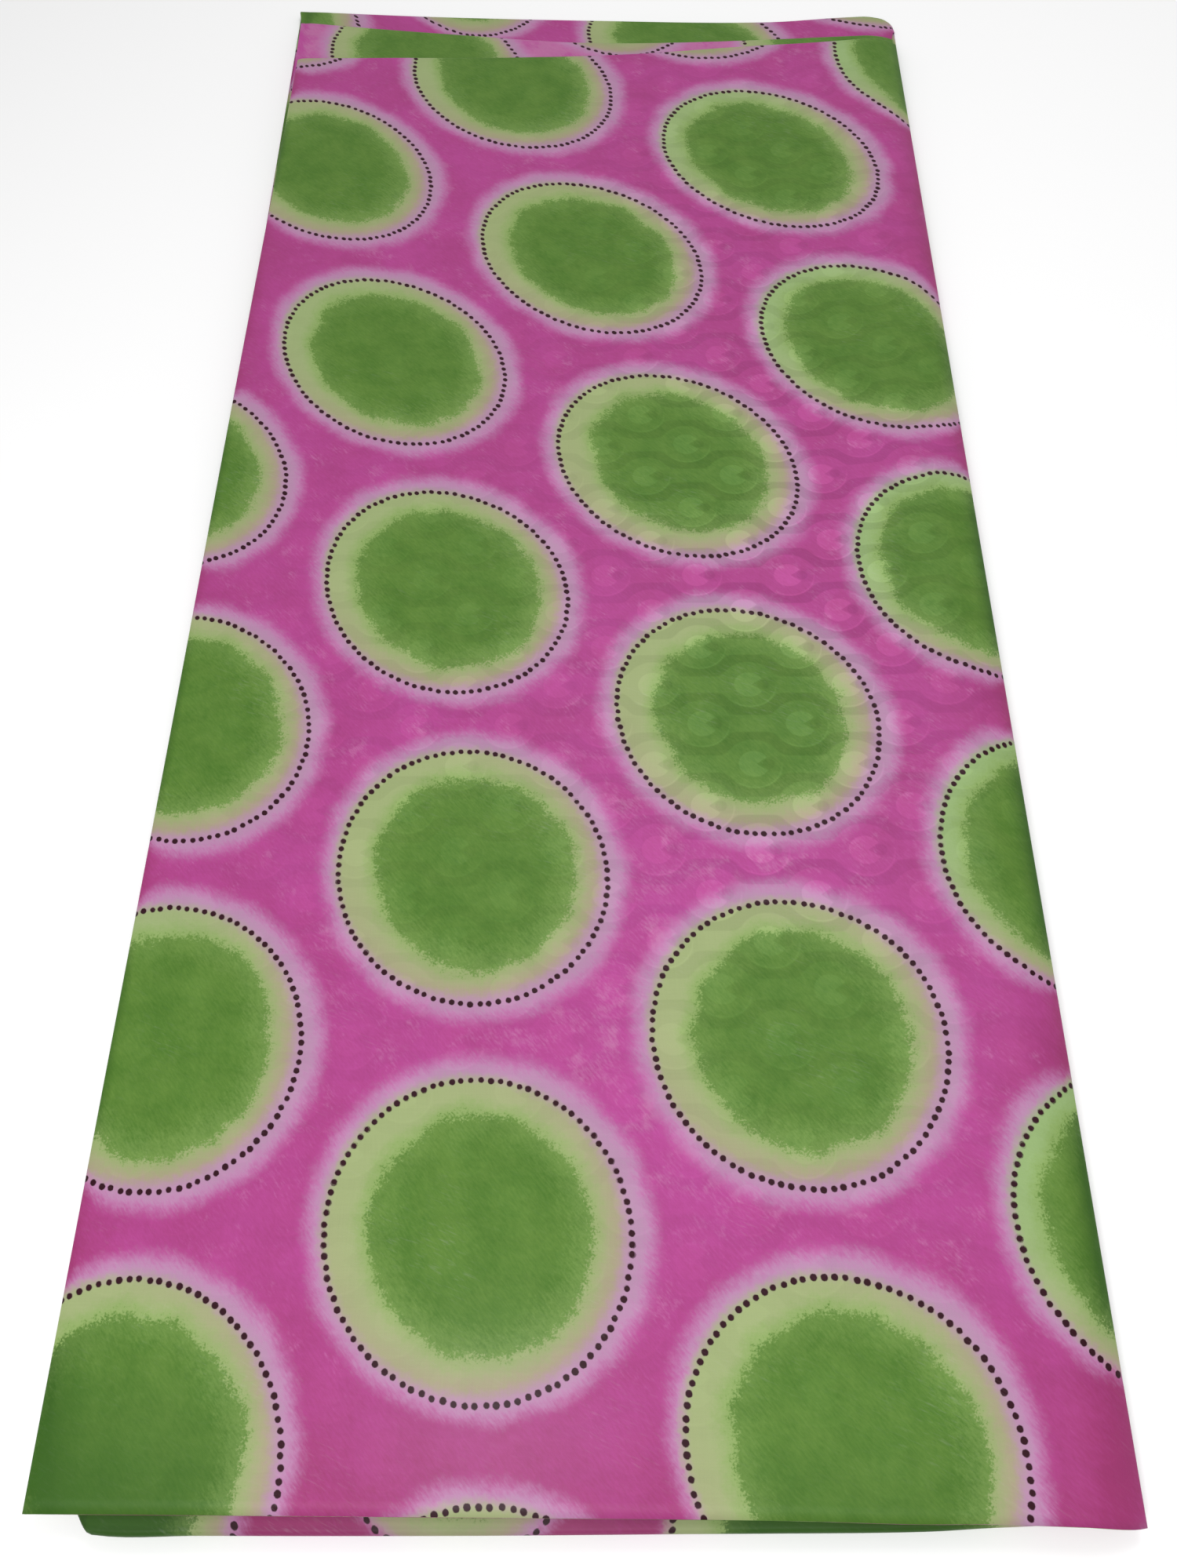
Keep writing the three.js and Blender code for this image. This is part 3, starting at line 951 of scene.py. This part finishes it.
# %% [markdown]
# ## Threads
#
# The cloth has about thirty threads to the centimetre each way. From the photograph's distance they
# are only a faint grain, but they show close up, so the group gives both a height for the relief
# and a slow unevenness of single threads, as hand-beaten cotton has.

# %% Group: threads
THREADS_PER_METRE = 3000.0
SLUB_SCALE = 60.0
SLUB_LENGTH = 25.0

thread_group, g, given, wanted = new_group(
    "Threads",
    [("Place", "NodeSocketVector", None)],
    [("Height", "NodeSocketFloat"), ("Slub", "NodeSocketFloat")],
)
axes = g.split(given["Place"])
wave_u = g.math("SINE", g.times(axes[0], THREADS_PER_METRE * math.pi))
wave_v = g.math("SINE", g.times(axes[1], THREADS_PER_METRE * math.pi))
g.feed(wanted["Height"], g.plus(0.5, g.times(wave_u, wave_v), 0.5))
along_v = g.noise(g.join(g.times(axes[0], SLUB_LENGTH), axes[1]), SLUB_SCALE)
along_u = g.noise(g.join(axes[0], g.times(axes[1], SLUB_LENGTH)), SLUB_SCALE)
g.feed(wanted["Slub"], g.times(g.math("ADD", along_v, along_u), 0.5))
print("threads to the centimetre:", round(THREADS_PER_METRE / 100))

# %% [markdown]
# ## Marks of the beating
#
# The mallets leave short glossy scratches across the threads, in loose drifts, and the nap between
# them stays matt. Long thin noise, turned to the direction of the scratches, gives the marks, and a
# broad noise keeps them to patches. In the material the marks only lighten the colour, as a painted
# gleam; the roughness doesn't follow them.

# %% Group: burnish marks
SCRATCH_ANGLE = math.radians(-24.0)
SCRATCH_SIZES = (0.0065, 0.0009, 1.0)

burnish_group, g, given, wanted = new_group(
    "Burnish marks",
    [("Place", "NodeSocketVector", None)],
    [("Mark", "NodeSocketFloat")],
)
turned = g.stretched(given["Place"], SCRATCH_ANGLE, SCRATCH_SIZES)
scratches = g.soft_step(g.noise(turned, 1.0, 3.0, 0.6), 0.52, 0.72)
drifts = g.soft_step(g.noise(given["Place"], 17.0, 3.0, 0.6), 0.50, 0.66)
g.feed(wanted["Mark"], g.times(scratches, g.plus(0.15, drifts, 0.85)))

# %% [markdown]
# ## The finish of the cloth
#
# Print, figure, threads and marks come together in one material. Bazin is starched and beaten with
# wooden mallets, which leaves a smooth, waxy lustre on a half matt cloth: a middling roughness that
# only the weave's figure changes, and the faintest clear coat. Light and shade are also painted into
# the colour: the figure brightens and darkens it as painted sheen, the burnish marks, the figure and
# a patch at the near end blend it towards pale grey as a painted gleam, and the lip gets painted
# shade. What changes slowly over the cloth is kept in it as named values: how strongly the figure
# shows as painted sheen, the dye together with painted shade and sheen, where the painted gleam
# lies at the near end, and how much painted shade the lip gets.

# %% Material
def uv(graph, name):
    return graph.node("ShaderNodeUVMap", uv_map=name).outputs["UV"]


def attribute(graph, name):
    return graph.node("ShaderNodeAttribute", attribute_name=name).outputs["Fac"]


# painted sheen: how much the woven figure brightens and darkens the colour
FIGURE_SHEEN_STRENGTH = 0.32
# painted gleam from the bright parts of the figure
FIGURE_PAINTED_GLEAM = 0.02
FIGURE_ROUGHNESS = -0.12
FIGURE_MEAN = 0.42
SLUB_SHADE = 0.12
SELVEDGE = (6.0, 6.6)
SELVEDGE_SHADE = 0.86
# painted gleam: how far the burnish marks and the patch at the near end blend the colour towards a
# pale grey
BURNISH_PAINTED_GLEAM = 0.07
NEAR_SHEEN_GLEAM = 0.042
NEAR_SHEEN_MARKS = 0.05
PAINTED_GLEAM_COLOUR = linear(205, 200, 205)
ROUGHNESS = 0.50
SPECULAR = 0.14
COAT = 0.02
COAT_ROUGHNESS = 0.35
WEAVE_RELIEF = 0.00004
FIGURE_RELIEF = 0.00006

cloth = bpy.data.materials.new("printed_damask")
cloth.use_nodes = True
shader = cloth.node_tree.nodes["Principled BSDF"]
m = Graph(cloth.node_tree)


def group(tree, inputs):
    """One of the groups above, placed in the material."""
    return m.node("ShaderNodeGroup", inputs, node_tree=tree).outputs


grain_place = uv(m, "Grain")
printed = group(print_group, {"Place": uv(m, "Print"), "Dye_and_painted_light": attribute(m, "dye_and_painted_light")})
damask = group(damask_group, {"Place": grain_place})
threads = group(thread_group, {"Place": grain_place})
mark = group(burnish_group, {"Place": grain_place})["Mark"]

# painted sheen: the woven figure brightens and darkens the colour, more in its patches; the thread
# slubs vary it at random
figure = m.times(m.minus(damask["Figure"], FIGURE_MEAN), attribute(m, "figure_painted_sheen"))
sheen_shade_and_slub = m.plus(1.0, figure, FIGURE_SHEEN_STRENGTH)
sheen_shade_and_slub = m.plus(sheen_shade_and_slub, m.minus(threads["Slub"], 0.5), SLUB_SHADE)
# painted shade: the lip's near turn is darkened
sheen_shade_and_slub = m.times(sheen_shade_and_slub, m.rest(attribute(m, "painted_lip_shade")))
shaded = m.scaled(printed["Color"], sheen_shade_and_slub)
in_selvedge = m.rest(m.soft_step(attribute(m, "from_selvedge"), *SELVEDGE))
shaded = m.blend(in_selvedge, shaded, m.scaled(shaded, SELVEDGE_SHADE))
# painted gleam: the burnish marks, the bright parts of the figure and a patch at the near end blend
# the colour towards a pale grey
painted_gleam = m.plus(m.times(mark, BURNISH_PAINTED_GLEAM), m.math("MAXIMUM", figure, 0.0), FIGURE_PAINTED_GLEAM)
painted_gleam = m.plus(painted_gleam, attribute(m, "painted_near_sheen"), m.plus(NEAR_SHEEN_GLEAM, mark, NEAR_SHEEN_MARKS))
m.feed(shader.inputs["Base Color"], m.blend(painted_gleam, shaded, PAINTED_GLEAM_COLOUR))
m.feed(shader.inputs["Roughness"], m.plus(ROUGHNESS, figure, FIGURE_ROUGHNESS))
shader.inputs["Specular IOR Level"].default_value = SPECULAR
shader.inputs["Coat Weight"].default_value = COAT
shader.inputs["Coat Roughness"].default_value = COAT_ROUGHNESS
relief_of_weave = {"Height": threads["Height"], "Strength": 0.35, "Distance": WEAVE_RELIEF}
weave_bump = m.node("ShaderNodeBump", relief_of_weave).outputs[0]
relief_of_figure = {"Height": damask["Figure"], "Strength": 0.5, "Distance": FIGURE_RELIEF}
figure_bump = m.node("ShaderNodeBump", {**relief_of_figure, "Normal": weave_bump}).outputs[0]
m.feed(shader.inputs["Normal"], figure_bump)
print("cloth material:", len(cloth.node_tree.nodes), "nodes")

# %% [markdown]
# ## The pieces
#
# Each run becomes a grid of points, rows along the strip and columns along the folded path, and a
# Solidify modifier gives the cloth its thickness, half to each side of the grid. The first selvedge
# and the last are the ends of the path, so the distance from the nearer one is easy to keep.

# %% Make a run
TURN_ROWS = 14
OUTERMOST = 0.99
# painted shade on a run's near turn: none at y = 2 mm, full at y = -2 mm
LIP_SHADE_FROM = 2.0
LIP_SHADE_OVER = 4.0
# patches where the woven figure is painted as sheen, over a weak figure elsewhere
# strength, then middle and half width across and the same along, in millimetres
FIGURE_SHEEN_PATCHES = [
    (0.86, 268.0, 70.0, 310.0, 170.0), (0.5, 335.0, 60.0, 430.0, 150.0),
    (0.5, 240.0, 65.0, 475.0, 90.0), (0.5, 270.0, 90.0, 660.0, 130.0),
    (0.4, 120.0, 70.0, 320.0, 150.0),
]
FIGURE_SHEEN_ELSEWHERE = 0.12
# painted gleam: a pale patch in the middle of the near end
NEAR_SHEEN_PATCH = [(1.0, 158.0, 42.0, 26.0, 34.0)]
# painted sheen: the pink turns paler and more lilac in a broad patch right of the middle
MIDDLE_SHEEN_PATCH = [(0.24, 225.0, 90.0, 190.0, 110.0)]
# painted shade: a darker near left corner
CORNER_SHADE = [(0.18, 0.0, 75.0, 0.0, 85.0)]
DYE_ELSEWHERE = 0.62


def patches_at(table, x, y):
    """The sum of soft patches: strength times a bell curve across times another along."""
    return sum(
        strength * bump(x, x0, width) * bump(y, y0, depth)
        for strength, x0, width, y0, depth in table
    )


def dye_and_painted_light_at(x, y):
    """How far the pink goes from crimson, 0, to lilac, 1. This value holds the dye and painted light
    together. It is lower along the near end, and lower still, as painted shade, in the near left
    corner, along both long edges and at the folds; it is highest, as a painted sheen, in a broad
    patch right of the middle."""
    right_edge = 0.50 * bump(x, 380.0, 17.0) * (1.0 - 0.6 * np.clip(y / 817.0, 0.0, 1.0))
    left_edge = 0.20 * bump(x, -2.0, 14.0)
    folds = 0.30 * (bump(x, 377.0, 5.0) + bump(x, -1.0, 4.0))
    near_end = 0.36 * bump(y, -10.0, 62.0)
    shade_and_depth = near_end + right_edge + left_edge + folds + patches_at(CORNER_SHADE, x, y)
    return np.clip(DYE_ELSEWHERE + patches_at(MIDDLE_SHEEN_PATCH, x, y) - shade_and_depth, 0.0, 1.0)


def make_run(name, rows, section, start_y, heading, print_map, underside, paler=0.0, painted_lip_shade=0.0):
    """Turns the rows of one run into a finished piece, and gives its length in metres. underside
    says that the ply which shows is the lower one, so the cloth opens out to the other side. paler
    is added to the value that holds the dye and painted light of the whole run, and the last
    argument is the painted shade that darkens its near turn."""
    points = np.stack(rows)
    x, y = points[..., 0], points[..., 1]
    across = unfolded_across(points)
    along = travelled(points, start_y, heading)
    total = across[:, -1:]
    # opened-out x, which equals the strip's x on the ply that shows
    height = section[2]
    shown = (height < -OUTERMOST) if underside else (height > OUTERMOST)
    anchor = np.flatnonzero(shown)[np.count_nonzero(shown) // 2]
    direction = 1.0 if underside else -1.0
    x_open = x[:, anchor:anchor + 1] + direction * (across - across[:, anchor:anchor + 1])
    maps = {"Grain": threads_on_run(x_open, along), "Print": print_map(x_open, along)}
    values = {
        "from_selvedge": np.minimum(across, total - across),
        "figure_painted_sheen": FIGURE_SHEEN_ELSEWHERE + patches_at(FIGURE_SHEEN_PATCHES, x, y),
        "dye_and_painted_light": dye_and_painted_light_at(x, y) + paler,
        "painted_near_sheen": patches_at(NEAR_SHEEN_PATCH, x, y),
        "painted_lip_shade": painted_lip_shade * np.clip((LIP_SHADE_FROM - y) / LIP_SHADE_OVER, 0.0, 1.0),
    }
    piece = grid_object(name, points, maps, values)
    piece.data.materials.append(cloth)
    solidify = piece.modifiers.new("ply", "SOLIDIFY")
    solidify.thickness = PLY * MM
    solidify.offset = 0.0
    solidify.use_even_offset = False
    length = float(np.linalg.norm(np.diff(points[:, anchor], axis=0), axis=1).sum())
    print(f"{name}: {points.shape[0]} rows of {points.shape[1]} points, {length:.0f} mm long, "
          f"cloth {float(total.mean()):.0f} mm wide")
    return piece, length * MM


# %% [markdown]
# The top run carries the view, so it gets the finest grid: about 3.3 mm across and 5.5 mm along. The
# plies inside it and the runs below it are coarser, because only their edges show.

# %% Top run
top_section = folded_section(110, 30, "top")
plain_section = folded_section(46, 30, "top")
rows = straight(
    top_section, 5, TOP_CUT_END, FAR_TURN_OF_TOP,
    lambda x: outline_at(TOP_CUT_END, x), turn_centre(FAR_TURN_OF_TOP, 1), 1, row_shares(148, 0.1),
)
rows += turn(top_section, 5, FAR_TURN_OF_TOP, 1, 1, TURN_ROWS)
top_cloth, top_length = make_run(
    "cloth_top_run", rows, top_section, 0.0, 1, print_on_top_run, False,
)

# %% [markdown]
# The second run lies face down and starts where the first one turns. Its near turn reaches past the
# cut end and shows as a lip, which is darkened with painted shade.

# %% Second run, with the lip
lip_section = folded_section(60, 30, "under")
seam = turn_centre(FAR_TURN_OF_TOP, 1)
rows = straight(
    lip_section, 4, FAR_TURN_OF_TOP, NEAR_TURN_OF_SECOND,
    lambda x: seam(x) - RUN_GAP, turn_centre(NEAR_TURN_OF_SECOND, -1), -1, row_shares(74, 0.6),
)
rows += turn(lip_section, 4, NEAR_TURN_OF_SECOND, -1, -1, TURN_ROWS)
# painted shade on the lip: its dye value is lowered by 0.3 and its near turn is darkened by 0.30
second_cloth, second_length = make_run(
    "cloth_second_run", rows, lip_section, 811.0, -1, print_on_second_run, True,
    paler=-0.3, painted_lip_shade=0.30,
)

# %% [markdown]
# The third run reaches further than the first at the far end, so a strip of it shows there.

# %% Third run
near_seam = turn_centre(NEAR_TURN_OF_SECOND, -1)
rows = straight(
    plain_section, 3, NEAR_TURN_OF_SECOND, FAR_TURN_OF_THIRD,
    lambda x: near_seam(x) + RUN_GAP, turn_centre(FAR_TURN_OF_THIRD, 1), 1, row_shares(84, 0.6),
)
rows += turn(plain_section, 3, FAR_TURN_OF_THIRD, 1, 1, TURN_ROWS)
third_cloth, third_length = make_run(
    "cloth_third_run", rows, plain_section, 0.0, 1, print_on_third_run, False, paler=0.8,
)

# %% [markdown]
# Nothing of the fourth and fifth run shows from above. They are one piece, joined by their turn.

# %% Fourth and fifth run
hidden_section = folded_section(30, 30, "top")
third_seam = turn_centre(FAR_TURN_OF_THIRD, 1)
hidden_turn = turn_centre(NEAR_TURN_OF_HIDDEN, -1)
rows = straight(
    hidden_section, 2, FAR_TURN_OF_THIRD, NEAR_TURN_OF_HIDDEN,
    lambda x: third_seam(x) - RUN_GAP, hidden_turn, -1, row_shares(56, 0.6),
)
rows += turn(hidden_section, 2, NEAR_TURN_OF_HIDDEN, -1, -1, TURN_ROWS)
rows += straight(
    hidden_section, 1, NEAR_TURN_OF_HIDDEN, FAR_TURN_OF_THIRD,
    hidden_turn, lambda x: third_seam(x) - RUN_GAP, 1, row_shares(56, 0.6),
)
hidden_cloth, hidden_length = make_run(
    "cloth_hidden_runs", rows, hidden_section, 828.0, -1, print_on_second_run, True,
)

# %% [markdown]
# The last piece starts with the end of the fifth run, which looks out at the far end, turns there
# and lies flat on the surface as the sixth.

# %% Bottom run
rows = straight(
    plain_section, 1, FAR_TURN_OF_THIRD, FAR_TURN_OF_BOTTOM,
    third_seam, turn_centre(FAR_TURN_OF_BOTTOM, 1), 1, row_shares(12, 0.3),
)
rows += turn(plain_section, 1, FAR_TURN_OF_BOTTOM, 1, 1, TURN_ROWS)
rows += straight(
    plain_section, 0, FAR_TURN_OF_BOTTOM, BOTTOM_CUT_END,
    turn_centre(FAR_TURN_OF_BOTTOM, 1), lambda x: outline_at(BOTTOM_CUT_END, x), -1,
    row_shares(72, 0.5),
)
bottom_cloth, bottom_length = make_run(
    "cloth_bottom_run", rows, plain_section, 829.0, 1, print_on_bottom_run, False,
)

# %% [markdown]
# ## What each piece stands for
#
# Nothing on a folded cloth moves by itself, so every piece rides on the one body, and the solid of
# the model that it stands for is hidden.

# %% Bodies
PIECES = [
    (top_cloth, "top_run", top_length, ["cloth_second_run"]),
    (second_cloth, "second_run", second_length, ["cloth_third_run"]),
    (third_cloth, "third_run", third_length, ["cloth_hidden_runs"]),
    (hidden_cloth, "hidden_runs", hidden_length, ["cloth_bottom_run"]),
    (bottom_cloth, "bottom_run", bottom_length, []),
]
for piece, node, length, below in PIECES:
    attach(piece, "root")
    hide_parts(node)
